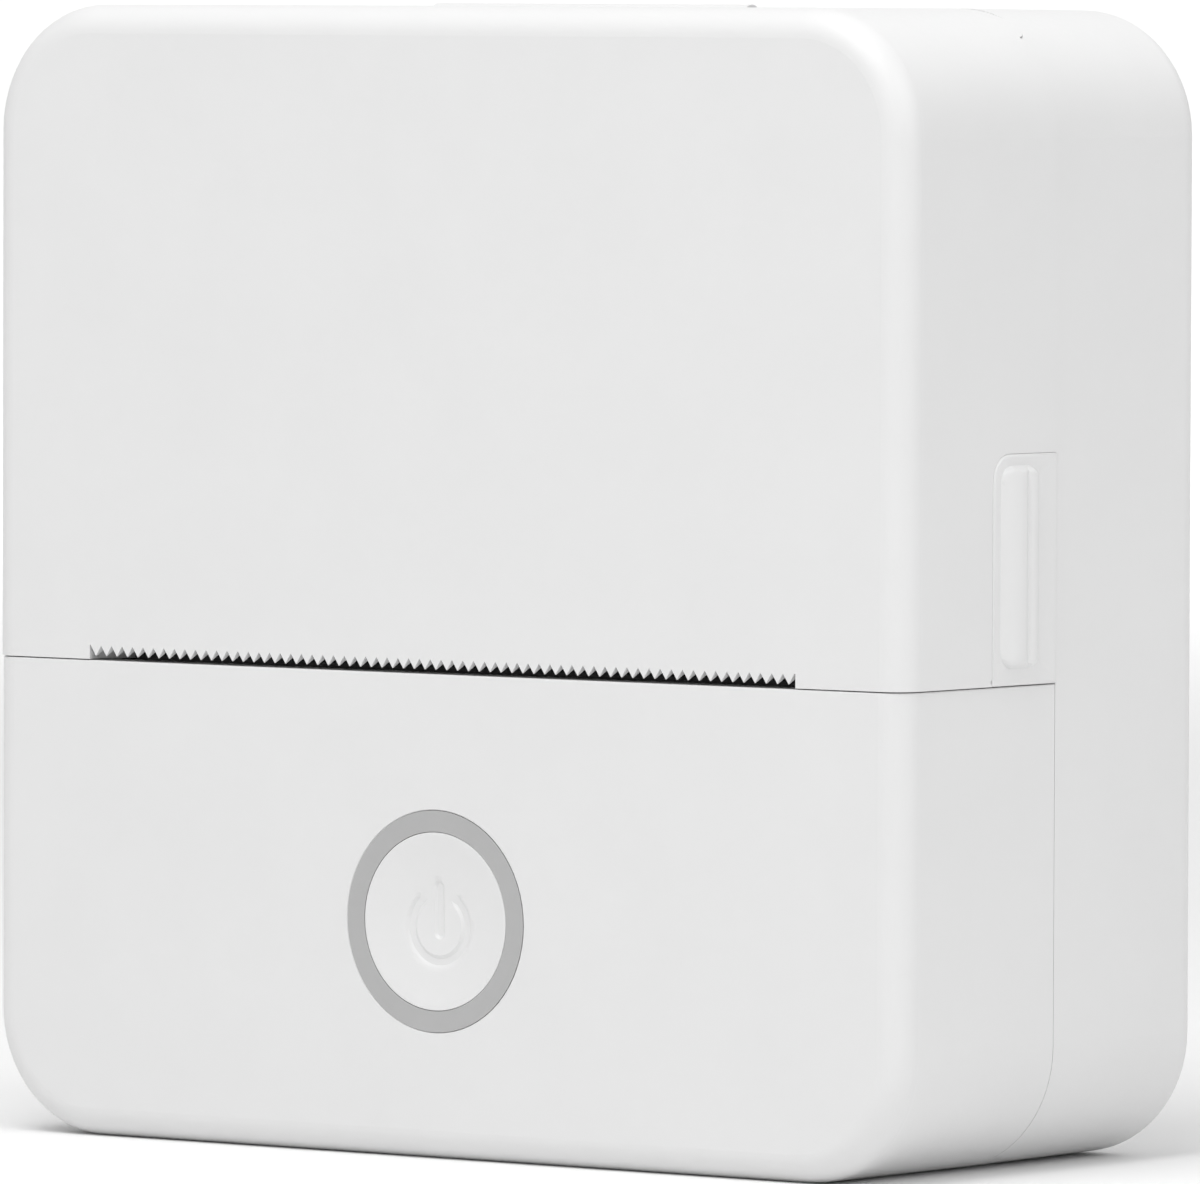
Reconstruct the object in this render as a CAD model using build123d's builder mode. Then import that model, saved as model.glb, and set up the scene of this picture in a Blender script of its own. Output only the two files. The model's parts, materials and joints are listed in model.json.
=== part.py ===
from build123d import *
from math import acos, atan2, cos, degrees, pi, radians, sin, tan
import os

os.makedirs("parts", exist_ok=True)

# Frame: X to the right, Y backwards, Z up, origin at the middle of the resting face. The seam lies at Y = 0.

# housing
width = 83.0
height = 83.0
depth = 37.0
corner_radius = 9.2
front_round = 2.1
back_round = 2.4
back_draft = 0.5
wall = 2.0
half_depth = depth / 2
half_width = width / 2
inner_half_width = half_width - wall
inner_front = -half_depth + wall
inner_back = half_depth - wall
split_height = 35.0
seam_gap = 0.06
split_gap = 0.08
cover_overhang = 0.12
edge_round = 0.12
lip_reach = 1.2
lip_thick = 0.8
lip_clearance = 0.15

# hinge along the top of the seam
hinge_height = height - 1.0
nose_radius = 1.0
knuckle_radius = 1.2
knuckle_half = 14.35
lug_inner = 14.5
lug_outer = 18.0
pin_radius = 0.5
hinge_clearance = 0.15
hinge_running_gap = 0.04
groove_width = 1.4
notch_depth = 1.55

# paper slot and tear edge
slot_half = 32.2
lip_height = 36.12
slot_cheek = 0.7
slot_cheek_reach = 1.5
slot_cheek_depth = 2.6
slot_cheek_height = 2.0
tooth_count = 65
tooth_height = 0.78
tooth_edge = 0.1
bar_thickness = 0.9
bar_setback = 0.15
bar_height = 2.2

# power button and ring
button_height = 17.2
ring_outer = 8.0
ring_bore = 6.47
ring_pipe_bore = 7.1
ring_flange = 9.4
ring_step = -15.5
ring_back = -10.0
ring_chamfer = 0.07
cap_radius = 6.43
cap_flange = 6.9
cap_round = 0.2
stem_radius = 1.6
stem_back = -12.1

# cover release latch on the right side
latch_front = -7.85
latch_back = -0.12
latch_bottom = split_height + 0.08
latch_top = 51.5
latch_proud = 0.25
latch_gap = 0.03
latch_round = 2.0
latch_inner = inner_half_width - 0.2
latch_stem_y = -3.9
latch_stem_z = 44.0
latch_stem_radius = 1.5
pad_front = -7.06
pad_back = -2.6
pad_bottom = 36.3
pad_top = 50.7
pad_corner = 0.9
pad_end_round = 0.7
bulge_y = -5.3
bulge_radius = 2.4
bulge_proud = 0.75
ridge_y = -3.35
ridge_radius = 0.8
ridge_proud = 0.6
valley_radius = 0.35

# print mechanism
platen_y = -12.0
platen_z = 39.0
platen_radius = 3.0
platen_core_radius = 1.5
platen_half = 28.8
bush_radius = 2.5
bush_inner = 29.3
bush_outer = 32.6
running_gap = 0.05
plate_inner = 31.2
plate_outer = 32.6
head_gap = 0.1
ceramic_thick = 0.8
sink_thick = 1.6
pivot_y = -4.0
pivot_radius = 0.8
frame_floor = 27.0
frame_floor_thick = 1.5
guide_front = -15.4
guide_back = -14.8
guide_top = 35.7
guide_half = 30.4

# gears
gear_module = 0.4
gear_backlash = 0.07
pressure_angle = 20.0
platen_teeth = 18
idler_teeth = 24
small_teeth = 12
wheel_teeth = 32
pinion_teeth = 12
gear_near = -33.1
gear_width = 2.7
wheel_near = -36.3
wheel_width = 1.8
stud_radius = 1.0
motor_shaft_radius = 0.75
motor_radius = 7.5
motor_length = 12.0

# paper bay
roll_y = -0.5
roll_z = 62.3
cradle_radius = 15.7
cradle_wall = 1.0
cheek_inner = 29.6
cheek_outer = 30.9

# board and battery
board_front = -8.0
board_thick = 1.0
board_bottom = 3.0
board_top = 26.3
board_half = 37.0

# screws
case_screw_x = 36.0
case_screw_low = 6.5
cradle_screw_x = 33.8
cradle_screw_z = 73.0
frame_screw_x = 35.4
frame_screw_z = 46.0
frame_boss_front = 4.6
boss_front = 14.9
screw_radius = 0.9
head_radius = 1.8


def outline(inset, overhang=0, mode=Mode.ADD):
    """The housing's rounded square, drawn in all round by inset and out sideways by overhang."""
    with Locations((0, height / 2)):
        across = width - 2 * inset + 2 * overhang
        RectangleRounded(across, height - 2 * inset, corner_radius - inset, mode=mode)


def is_outside(point):
    """Whether a point lies on the outer skin of the front or of a side."""
    return abs(point.X) > half_width - 0.5 or point.Y < 0.5 - half_depth


def polar(radius, angle):
    return radius * cos(radians(angle)), radius * sin(radians(angle))


def shifted(centre, distance, angle):
    offset = polar(distance, angle)
    return centre[0] + offset[0], centre[1] + offset[1]


def pitch_radius(teeth):
    return gear_module * teeth / 2


def gear_outline(teeth, phase):
    """Points of an involute gear with one tooth centred on the angle phase."""
    pitch = pitch_radius(teeth)
    base = pitch * cos(radians(pressure_angle))
    tip = pitch + gear_module
    root = pitch - 1.2 * gear_module
    involute = tan(radians(pressure_angle)) - radians(pressure_angle)
    half_tooth = pi / (2 * teeth) - gear_backlash / (2 * pitch)
    flank = [max(base, root + 0.02), pitch, tip]
    half_angles = []
    for radius in flank:
        roll = acos(min(1.0, base / radius))
        half_angles.append(degrees(half_tooth + involute - (tan(roll) - roll)))
    points = []
    for tooth in range(teeth):
        centre = phase + 360 * tooth / teeth
        points.append(polar(root, centre - half_angles[0]))
        points += [polar(r, centre - a) for r, a in zip(flank, half_angles)]
        points += [polar(r, centre + a) for r, a in zip(reversed(flank), reversed(half_angles))]
        points.append(polar(root, centre + half_angles[0]))
    return points


def toothed(centre, teeth, phase):
    """A gear's face, drawn in the sketch that calls it, about centre in (Y, Z)."""
    with Locations(centre):
        Polygon(*gear_outline(teeth, phase))


def meshed_phase(teeth, other_teeth, other_phase, angle_from_other):
    """The phase that puts a gear's gap on the other gear's tooth."""
    lead = other_phase - angle_from_other
    return angle_from_other + 180 + 180 / teeth - lead * other_teeth / teeth


# The idler stands straight behind the platen's path, so that the gears part along their line of centres.
platen_centre = (platen_y, platen_z)
hinge_drop = hinge_height - platen_z
idler_angle = degrees(atan2(platen_y, hinge_drop))
idler_centre = shifted(platen_centre, pitch_radius(platen_teeth + idler_teeth), idler_angle)
small_angle = -60.0
reduction_centre = shifted(idler_centre, pitch_radius(idler_teeth + small_teeth), small_angle)
pinion_angle = -35.0
motor_centre = shifted(reduction_centre, pitch_radius(wheel_teeth + pinion_teeth), pinion_angle)
platen_phase = idler_angle
idler_phase = meshed_phase(idler_teeth, platen_teeth, platen_phase, idler_angle)
small_phase = meshed_phase(small_teeth, idler_teeth, idler_phase, small_angle)
wheel_phase = 0.0
pinion_phase = meshed_phase(pinion_teeth, wheel_teeth, wheel_phase, pinion_angle)


# Back shell: the rear half of the housing, drafted towards the back, with lugs that hold the hinge pin.
with BuildPart() as back_shell:
    with BuildSketch(Plane.XZ):
        outline(0)
    extrude(amount=-half_depth, taper=back_draft)
    fillet(back_shell.faces().sort_by(Axis.Y)[-1].edges(), radius=back_round)
    with BuildSketch(Plane.XZ):
        outline(wall)
    extrude(amount=-inner_back, mode=Mode.SUBTRACT)
    # locating lip that the front shell closes over
    with BuildSketch(Plane.XZ.offset(lip_reach)):
        outline(wall - lip_thick)
        outline(wall, mode=Mode.SUBTRACT)
        with Locations((0, split_height - 2 + height / 2)):
            Rectangle(width, height, mode=Mode.SUBTRACT)
    extrude(amount=-lip_reach - 0.5)
    # groove that the cover's rear edge swings through
    with BuildSketch(Plane.YZ.offset(-half_width)):
        with Locations((0, hinge_height)):
            Circle(nose_radius + hinge_clearance)
        Polygon((0, hinge_height), (nose_radius + hinge_clearance, hinge_height), (groove_width, height + 1),
                (0, height + 1))
    extrude(amount=width, mode=Mode.SUBTRACT)
    with BuildSketch(Plane.YZ.offset(-lug_inner)):
        with Locations((0, hinge_height)):
            Circle(knuckle_radius + hinge_clearance)
        Polygon((0, hinge_height), (knuckle_radius + hinge_clearance, hinge_height),
                (groove_width + 0.25, height + 1), (0, height + 1))
    extrude(amount=2 * lug_inner, mode=Mode.SUBTRACT)
    # two lugs with the pin's holes
    for side in (-1, 1):
        with BuildSketch(Plane.YZ.offset(side * lug_inner if side > 0 else -lug_outer)):
            with Locations((0, hinge_height)):
                Circle(nose_radius)
            with Locations((1.4, hinge_height)):
                Rectangle(2.8, 2 * nose_radius)
        extrude(amount=lug_outer - lug_inner)
    with BuildSketch(Plane.YZ.offset(-lug_outer)):
        with Locations((0, hinge_height)):
            Circle(pin_radius)
    extrude(amount=2 * lug_outer, mode=Mode.SUBTRACT)
    # bosses for the mechanism frame's screws
    with BuildSketch(Plane.XZ.offset(-frame_boss_front)):
        with Locations((-frame_screw_x, frame_screw_z), (frame_screw_x, frame_screw_z)):
            Circle(2.1)
    extrude(amount=-(inner_back - frame_boss_front))
    with BuildSketch(Plane.XZ.offset(-frame_boss_front)):
        with Locations((-frame_screw_x, frame_screw_z), (frame_screw_x, frame_screw_z)):
            Circle(screw_radius)
    extrude(amount=-7.0, mode=Mode.SUBTRACT)
    # pads and counterbored holes for the four case screws
    case_points = [(side * case_screw_x, case_screw_low) for side in (-1, 1)]
    case_points += [(side * cradle_screw_x, cradle_screw_z) for side in (-1, 1)]
    with BuildSketch(Plane.XZ.offset(-(inner_back - 1.5))):
        with Locations(*case_points):
            Circle(2.8)
    extrude(amount=-1.5)
    with BuildSketch(Plane.XZ.offset(-(inner_back - 1.5))):
        with Locations(*case_points):
            Circle(screw_radius + 0.15)
    extrude(amount=-6.0, mode=Mode.SUBTRACT)
    with BuildSketch(Plane.XZ.offset(-half_depth)):
        with Locations(*case_points):
            Circle(head_radius + 0.2)
    extrude(amount=1.6, mode=Mode.SUBTRACT)
    # ribs that cradle the battery
    with BuildSketch(Plane.XZ.offset(-9.5)):
        with Locations((-14.1, 20), (34.1 - 0.2, 24)):
            Rectangle(1.0, 26)
    extrude(amount=-(inner_back - 9.5))
back_shell.part.label = "back_shell"
export_step(back_shell.part, "parts/back_shell.step")

# Front shell: the lower front half, with the button's hole, the slot's ledge and the port's cut-out.
with BuildPart() as front_shell:
    with BuildSketch(Plane.XZ.offset(seam_gap)):
        outline(0)
    extrude(amount=half_depth - seam_gap)
    fillet(front_shell.faces().sort_by(Axis.Y)[0].edges(), radius=front_round)
    with BuildSketch(Plane.XZ.offset(seam_gap)):
        outline(wall)
    extrude(amount=half_depth - wall - seam_gap, mode=Mode.SUBTRACT)
    split(bisect_by=Plane.XY.offset(split_height), keep=Keep.BOTTOM)
    # rebate for the back shell's lip
    with BuildSketch(Plane.XZ):
        outline(wall - lip_thick - lip_clearance)
    extrude(amount=lip_reach + lip_clearance, mode=Mode.SUBTRACT)
    rim = front_shell.faces().sort_by(Axis.Z)[-1].edges()
    fillet(rim.filter_by(lambda edge: is_outside(edge.center())), radius=edge_round)
    # ledge under the paper slot
    with BuildSketch(Plane.YZ.offset(-slot_half)):
        Polygon((inner_front - 0.1, split_height), (inner_front + 0.9, split_height),
                (inner_front + 0.9, split_height - 1.4), (inner_front - 0.1, split_height - 2.6))
    extrude(amount=2 * slot_half)
    # ring's hole
    with BuildSketch(Plane.XZ.offset(half_depth)):
        with Locations((0, button_height)):
            Circle(ring_outer + 0.03)
    extrude(amount=-wall, mode=Mode.SUBTRACT)
    ring_edge = front_shell.edges().filter_by(lambda edge: edge.is_closed).sort_by(Axis.Y)[0]
    chamfer(ring_edge, length=ring_chamfer)
    # bosses for the board and for the lower case screws
    board_points = [(side * 31.0, z) for side in (-1, 1) for z in (6.5, 23.0)]
    with BuildSketch(Plane.XZ.offset(-inner_front)):
        with Locations(*board_points):
            Circle(2.0)
    extrude(amount=-(board_front - inner_front))
    with BuildSketch(Plane.XZ.offset(-board_front)):
        with Locations(*board_points):
            Circle(0.8)
    extrude(amount=5.0, mode=Mode.SUBTRACT)
    with BuildSketch(Plane.XZ.offset(-inner_front)):
        with Locations(*case_points[:2]):
            Circle(2.3)
    extrude(amount=-(boss_front - inner_front))
    with BuildSketch(Plane.XZ.offset(-boss_front)):
        with Locations(*case_points[:2]):
            Circle(screw_radius)
    extrude(amount=9.0, mode=Mode.SUBTRACT)
    # charging port's cut-out in the left wall
    with BuildSketch(Plane.YZ.offset(-half_width - 1)):
        with Locations((-5.4, 14.0)):
            SlotOverall(9.6, 3.8, rotation=90)
    extrude(amount=wall + 2, mode=Mode.SUBTRACT)
front_shell.part.label = "front_shell"
export_step(front_shell.part, "parts/front_shell.step")

# Cover: the upper front, the top and the side walls down to the split. Its rear edge is cut square below the
# hinge, and along the top it is a round nose about the hinge's axis with a larger knuckle in the middle.
with BuildPart() as cover_shell:
    with BuildSketch(Plane.XZ.offset(-nose_radius)):
        outline(0, cover_overhang)
    extrude(amount=half_depth + nose_radius)
    fillet(cover_shell.faces().sort_by(Axis.Y)[0].edges(), radius=front_round)
    with BuildSketch(Plane.XZ.offset(-nose_radius)):
        outline(wall)
    extrude(amount=half_depth - wall + nose_radius, mode=Mode.SUBTRACT)
    split(bisect_by=Plane.XY.offset(split_height + split_gap), keep=Keep.TOP)
    with BuildSketch(Plane.YZ.offset(-half_width - 1)):
        with Locations((nose_radius - seam_gap, height / 2)):
            Rectangle(2 * nose_radius, height + 2)
        with Locations((0, hinge_height)):
            Circle(nose_radius, mode=Mode.SUBTRACT)
    extrude(amount=width + 2, mode=Mode.SUBTRACT)
    with BuildSketch(Plane.YZ.offset(-knuckle_half)):
        with Locations((0, hinge_height)):
            Circle(knuckle_radius)
    extrude(amount=2 * knuckle_half)
    # notches for the back shell's lugs
    for side in (-1, 1):
        with BuildSketch(Plane.XY.offset(hinge_height - 3)):
            with Locations((side * (lug_inner + lug_outer) / 2, 0)):
                Rectangle(lug_outer - lug_inner + 0.3, 2 * notch_depth)
        extrude(amount=6, mode=Mode.SUBTRACT)
    with BuildSketch(Plane.YZ.offset(-knuckle_half)):
        with Locations((0, hinge_height)):
            Circle(pin_radius + hinge_running_gap)
    extrude(amount=2 * knuckle_half, mode=Mode.SUBTRACT)
    # paper slot through the lip, and its two end cheeks
    with BuildSketch(Plane.XZ.offset(half_depth)):
        with Locations((0, split_height)):
            Rectangle(2 * slot_half, 2 * (lip_height - split_height))
    extrude(amount=-(wall + 0.5), mode=Mode.SUBTRACT)
    # pocket behind the lip that holds the tear bar
    with BuildSketch(Plane.XZ.offset(half_depth - bar_setback)):
        with Locations((0, lip_height)):
            Rectangle(2 * slot_half, 2 * bar_height)
    extrude(amount=-bar_thickness, mode=Mode.SUBTRACT)
    cheek_front = -half_depth + bar_setback + bar_thickness
    cheek_back = cheek_front + slot_cheek_depth
    cheek_tip = slot_half - slot_cheek_reach
    cheek_side = slot_half + slot_cheek
    for side in (-1, 1):
        with BuildSketch(Plane.XY.offset(split_height + split_gap)):
            Polygon((side * slot_half, cheek_front), (side * cheek_tip, cheek_back),
                    (side * cheek_side, cheek_back), (side * cheek_side, cheek_front))
        extrude(amount=slot_cheek_height)
    # latch's notch in the right wall
    with BuildSketch(Plane.YZ.offset(inner_half_width - 0.5)) as latch_notch:
        with Locations(((latch_front - latch_gap) / 2, (split_height + latch_top + latch_gap) / 2)):
            Rectangle(-latch_front + latch_gap, latch_top + latch_gap - split_height)
        fillet(latch_notch.vertices().group_by(Axis.X)[0].sort_by(Axis.Y)[-1], radius=latch_round + latch_gap)
        with Locations((latch_front - latch_gap, split_height + 0.4)):
            Circle(0.14)
    extrude(amount=wall + 1, mode=Mode.SUBTRACT)
    # catch that the latch's hook holds
    with BuildSketch(Plane.XY.offset(37.6)):
        with Locations((inner_half_width - 0.5, -9.0)):
            Rectangle(1.2, 1.4)
    extrude(amount=3.4)
    # bosses for the platen carrier
    carrier_points = [(-24.0, 47.2), (24.0, 47.2)]
    with BuildSketch(Plane.XZ.offset(-inner_front)):
        with Locations(*carrier_points):
            Circle(2.0)
    extrude(amount=-1.3)
    with BuildSketch(Plane.XZ.offset(-inner_front - 1.3)):
        with Locations(*carrier_points):
            Circle(0.7)
    extrude(amount=2.3, mode=Mode.SUBTRACT)
    # stiffening ribs inside the front wall, above the carrier
    with BuildSketch(Plane.XZ.offset(-inner_front)):
        with GridLocations(18.0, 1, 4, 1):
            with Locations((0, 62.0)):
                Rectangle(0.8, 22.0)
    extrude(amount=-0.5)
cover_shell.part.label = "cover_shell"
export_step(cover_shell.part, "parts/cover_shell.step")

# Tear bar: a strip behind the cover's lip, with its teeth showing below it.
with BuildPart() as tear_bar:
    tooth_pitch = 2 * (slot_half - 0.1) / tooth_count
    bar_left = -slot_half + 0.1
    notch_top = lip_height - 0.03
    teeth_points = [(bar_left, notch_top)]
    for tooth in range(tooth_count):
        teeth_points.append((bar_left + (tooth + 0.5) * tooth_pitch, lip_height - tooth_height))
        teeth_points.append((bar_left + (tooth + 1) * tooth_pitch, notch_top))
    teeth_points += [(-bar_left, lip_height + bar_height - 0.05), (bar_left, lip_height + bar_height - 0.05)]
    bar_back = -half_depth + bar_setback + bar_thickness
    with BuildSketch(Plane.XZ.offset(half_depth)):
        Polygon(*teeth_points)
    extrude(amount=-bar_thickness - bar_setback)
    # flush teeth that thin towards their tips, below a strip set back behind the lip
    with BuildSketch(Plane.YZ.offset(bar_left)):
        Polygon((-half_depth, lip_height - tooth_height), (-half_depth, lip_height),
                (-half_depth + bar_setback, lip_height), (-half_depth + bar_setback, lip_height + bar_height),
                (bar_back, lip_height + bar_height), (bar_back, lip_height + 0.1),
                (-half_depth + tooth_edge, lip_height - tooth_height))
    extrude(amount=-2 * bar_left, mode=Mode.INTERSECT)
tear_bar.part.label = "tear_bar"
export_step(tear_bar.part, "parts/tear_bar.step")

# Light ring: a translucent ring flush with the front, drawn back as a light guide towards the board.
button_axis = Axis((0, 0, button_height), (0, 1, 0))


def turned_profile(points):
    """A profile of (Y, radius) points about the button's axis, drawn in the sketch that calls it."""
    with Locations((0, button_height)):
        Polygon(*points)


with BuildPart() as light_ring:
    with BuildSketch(Plane.YZ):
        turned_profile([(-half_depth, ring_bore), (-half_depth, ring_outer), (inner_front, ring_outer),
                        (inner_front, ring_flange), (inner_front + 0.9, ring_flange),
                        (inner_front + 0.9, ring_outer), (ring_back, ring_outer), (ring_back, ring_pipe_bore),
                        (ring_step, ring_pipe_bore), (ring_step, ring_bore)])
    revolve(axis=button_axis)
light_ring.part.label = "light_ring"
export_step(light_ring.part, "parts/light_ring.step")

# Power button: a cup with a stem behind it and a flange that stops on the ring's step.
with BuildPart() as power_button:
    with BuildSketch(Plane.YZ):
        turned_profile([(-half_depth, 0), (-half_depth, cap_radius), (ring_step + 0.1, cap_radius),
                        (ring_step + 0.1, cap_flange), (ring_step + 0.9, cap_flange), (ring_step + 0.9, 5.2),
                        (inner_front - 0.3, 5.2), (inner_front - 0.3, stem_radius), (stem_back, stem_radius),
                        (stem_back, 0)])
    revolve(axis=button_axis)
    chamfer(power_button.edges().filter_by(GeomType.CIRCLE).sort_by(Axis.Y)[0], length=cap_round)
power_button.part.label = "power_button"
export_step(power_button.part, "parts/power_button.step")

# Power switch on the board, with the plunger that the stem presses.
switch_front = board_front - 3.3
with BuildPart() as power_switch:
    with BuildSketch(Plane.XZ.offset(-board_front)):
        with Locations((0, button_height)):
            RectangleRounded(6.0, 6.0, 0.5)
    extrude(amount=board_front - switch_front)
    with BuildSketch(Plane.XZ.offset(-switch_front)):
        with Locations((0, button_height)):
            Circle(1.8)
    extrude(amount=-1.2, mode=Mode.SUBTRACT)
power_switch.part.label = "power_switch"
export_step(power_switch.part, "parts/power_switch.step")

with BuildPart() as switch_plunger:
    with BuildSketch(Plane.XZ.offset(-stem_back - 0.1)):
        with Locations((0, button_height)):
            Circle(1.7)
    extrude(amount=-1.3)
    chamfer(switch_plunger.edges().filter_by(GeomType.CIRCLE).sort_by(Axis.Y)[0], length=0.2)
switch_plunger.part.label = "switch_plunger"
export_step(switch_plunger.part, "parts/switch_plunger.step")

# Latch: a panel in the cover's notch, with a stem and hook inside and a grip pad outside. The pad is a broad
# bulge with a narrow ridge behind it.
panel_face = half_width + latch_proud
pad_length = pad_top - pad_bottom
pad_middle = (pad_top + pad_bottom) / 2
with BuildPart() as grip_pad:
    with BuildSketch(Plane.XY.offset(pad_bottom)) as pad_section:
        with Locations((panel_face + bulge_proud - bulge_radius, bulge_y)):
            Circle(bulge_radius)
        with Locations((panel_face + ridge_proud - ridge_radius, ridge_y)):
            Circle(ridge_radius)
        fillet(pad_section.vertices().sort_by(Axis.X)[-1], radius=valley_radius)
    extrude(amount=pad_length)
    # rounded ends and corners, cut off inside the panel
    with BuildSketch(Plane.XZ.offset(-pad_front + 1)):
        with Locations((panel_face, pad_middle)):
            RectangleRounded(2 * bulge_proud, pad_length, pad_end_round)
    extrude(amount=-(pad_back - pad_front + 2), mode=Mode.INTERSECT)
    with BuildSketch(Plane.YZ.offset(half_width)):
        with Locations(((pad_front + pad_back) / 2, pad_middle)):
            RectangleRounded(pad_back - pad_front, pad_length, pad_corner)
    extrude(amount=latch_proud + bulge_proud, mode=Mode.INTERSECT)

with BuildPart() as latch_button:
    with BuildSketch(Plane.YZ.offset(latch_inner)) as latch_face:
        with Locations(((latch_front + latch_back) / 2, (latch_bottom + latch_top) / 2)):
            Rectangle(latch_back - latch_front, latch_top - latch_bottom)
        fillet(latch_face.vertices().group_by(Axis.X)[0].sort_by(Axis.Y)[-1], radius=latch_round)
    extrude(amount=panel_face - latch_inner)
    fillet(latch_button.faces().sort_by(Axis.X)[-1].edges(), radius=0.15)
    add(grip_pad.part)
    # flanges that keep it behind the front shell and the back shell
    with BuildSketch(Plane.YZ.offset(latch_inner - 1.0)):
        with Locations((-3.9, split_height)):
            Rectangle(5.4, 2.4)
        with Locations((0.3, 43.8)):
            Rectangle(2.6, 12.4)
        with Locations((-3.9, 43.8)):
            Rectangle(6.0, 12.4)
    extrude(amount=1.0)
    # stem in the frame's socket
    with BuildSketch(Plane.YZ.offset(latch_inner - 1.0)):
        with Locations((latch_stem_y, latch_stem_z)):
            Circle(latch_stem_radius)
    extrude(amount=-(latch_inner - 1.0 - 34.0))
    # hook arm, its barb facing outwards behind the cover's catch
    with BuildSketch(Plane.XY.offset(37.8)):
        Polygon((latch_inner - 0.9, -5.2), (36.9, -5.2), (36.9, -11.2), (37.6, -11.2), (38.3, -10.4),
                (38.3, -9.85), (37.6, -9.85), (37.6, -6.6), (latch_inner - 0.9, -6.6))
    extrude(amount=2.8)
latch_button.part.label = "latch_button"
export_step(latch_button.part, "parts/latch_button.step")


spring_wire = 0.22
coil_steps = 10


def coil_sections(seat, radius, length, turns):
    """Planes square to a coil's wire, evenly spaced along it. The seat's normal is the coil's axis."""
    rise = (length - 2 * spring_wire) / (turns * coil_steps)
    for step in range(turns * coil_steps + 1):
        turn = 2 * pi * step / coil_steps
        centre = seat.from_local_coords((radius * cos(turn), radius * sin(turn), spring_wire + rise * step))
        ahead = Vector(-radius * sin(turn), radius * cos(turn), rise * coil_steps / (2 * pi))
        along = seat.from_local_coords(ahead) - seat.origin
        yield Plane(origin=centre, x_dir=seat.z_dir.cross(along), z_dir=along)


# Latch spring: a coil round the stem, between the frame's socket and the latch's panel.
socket_face = 35.2
latch_spring_seat = Plane(origin=(socket_face, latch_stem_y, latch_stem_z), x_dir=(0, 1, 0), z_dir=(1, 0, 0))
with BuildPart() as latch_spring:
    for section in coil_sections(latch_spring_seat, 2.1, latch_inner - 1.0 - socket_face, 4):
        with BuildSketch(section):
            RegularPolygon(spring_wire, 6)
    loft(ruled=True)
latch_spring.part.label = "latch_spring"
export_step(latch_spring.part, "parts/latch_spring.step")

# Mechanism frame: two side plates on a floor and a rear bar, with ears, spring pegs and the latch's socket.
ceramic_top = platen_z - platen_radius - head_gap
sink_top = ceramic_top - ceramic_thick
sink_bottom = sink_top - sink_thick
pivot_z = (sink_top + sink_bottom) / 2
floor_top = frame_floor + frame_floor_thick
head_spring_points = [(-15.0, -11.0), (15.0, -11.0)]
motor_y, motor_z = motor_centre
motor_ears = [shifted(motor_centre, 8.9, angle) for angle in (45, 225)]


def side_plate_outline():
    Polygon((-13.8, frame_floor), (-13.8, 34.6), (-13.2, 35.6), (-13.2, 43.0), (-9.5, 47.6), (2.0, 48.4),
            (4.5, 48.4), (4.5, 36.0), (2.0, frame_floor))


def side_plate_holes():
    """The notch that the platen's bush leaves along its path, and the head's pivot hole."""
    with Locations(platen_centre):
        Circle(bush_radius + 0.1, mode=Mode.SUBTRACT)
        with Locations(polar(-5.0, idler_angle)):
            Rectangle(10.0, 2 * bush_radius + 0.2, rotation=idler_angle, mode=Mode.SUBTRACT)
    with Locations((pivot_y, pivot_z)):
        Circle(pivot_radius + running_gap, mode=Mode.SUBTRACT)


with BuildPart() as mechanism_frame:
    with BuildSketch(Plane.YZ.offset(plate_inner)):
        side_plate_outline()
        side_plate_holes()
    extrude(amount=plate_outer - plate_inner)
    with BuildSketch(Plane.YZ.offset(-plate_outer)):
        side_plate_outline()
        Polygon((-1.2, frame_floor + 2), (-1.2, 18.2), (15.0, 18.2), (15.0, 33.5), (4.5, 37.0), (0, 37.0))
        side_plate_holes()
        with Locations(idler_centre, reduction_centre):
            Circle(stud_radius, mode=Mode.SUBTRACT)
        with Locations(motor_centre):
            Circle(3.1, mode=Mode.SUBTRACT)
        with Locations(*motor_ears):
            Circle(0.8, mode=Mode.SUBTRACT)
    extrude(amount=plate_outer - plate_inner)
    with BuildSketch(Plane.XY.offset(frame_floor)):
        with Locations((0, -7.5)):
            Rectangle(2 * plate_outer, 12.6)
    extrude(amount=frame_floor_thick)
    # front wall that guides the paper over the head's front edge
    with BuildSketch(Plane.YZ.offset(-guide_half)):
        Polygon((-13.7, frame_floor), (guide_front, frame_floor), (guide_front, guide_top - 0.3),
                (guide_back, guide_top), (guide_back, floor_top), (-13.7, floor_top))
    extrude(amount=2 * guide_half)
    with BuildSketch(Plane.XY.offset(floor_top)):
        with Locations(*head_spring_points):
            Circle(1.3)
    extrude(amount=0.8)
    with BuildSketch(Plane.YZ.offset(-plate_outer)):
        with Locations((3.0, 43.4)):
            Rectangle(3.0, 2.0)
    extrude(amount=2 * plate_outer)
    for side in (-1, 1):
        with BuildSketch(Plane.XZ.offset(-4.5)):
            with Locations((side * (plate_outer + 2.5), frame_screw_z)):
                Rectangle(5.2, 4.8)
            with Locations((side * frame_screw_x, frame_screw_z)):
                Circle(screw_radius + 0.15, mode=Mode.SUBTRACT)
        extrude(amount=1.5)
    with BuildSketch(Plane.YZ.offset(plate_inner)):
        with Locations((latch_stem_y, latch_stem_z)):
            Circle(3.0)
    extrude(amount=socket_face - plate_inner)
    with BuildSketch(Plane.YZ.offset(plate_inner)):
        with Locations((latch_stem_y, latch_stem_z)):
            Circle(latch_stem_radius + running_gap)
    extrude(amount=socket_face - plate_inner, mode=Mode.SUBTRACT)
mechanism_frame.part.label = "mechanism_frame"
export_step(mechanism_frame.part, "parts/mechanism_frame.step")

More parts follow.
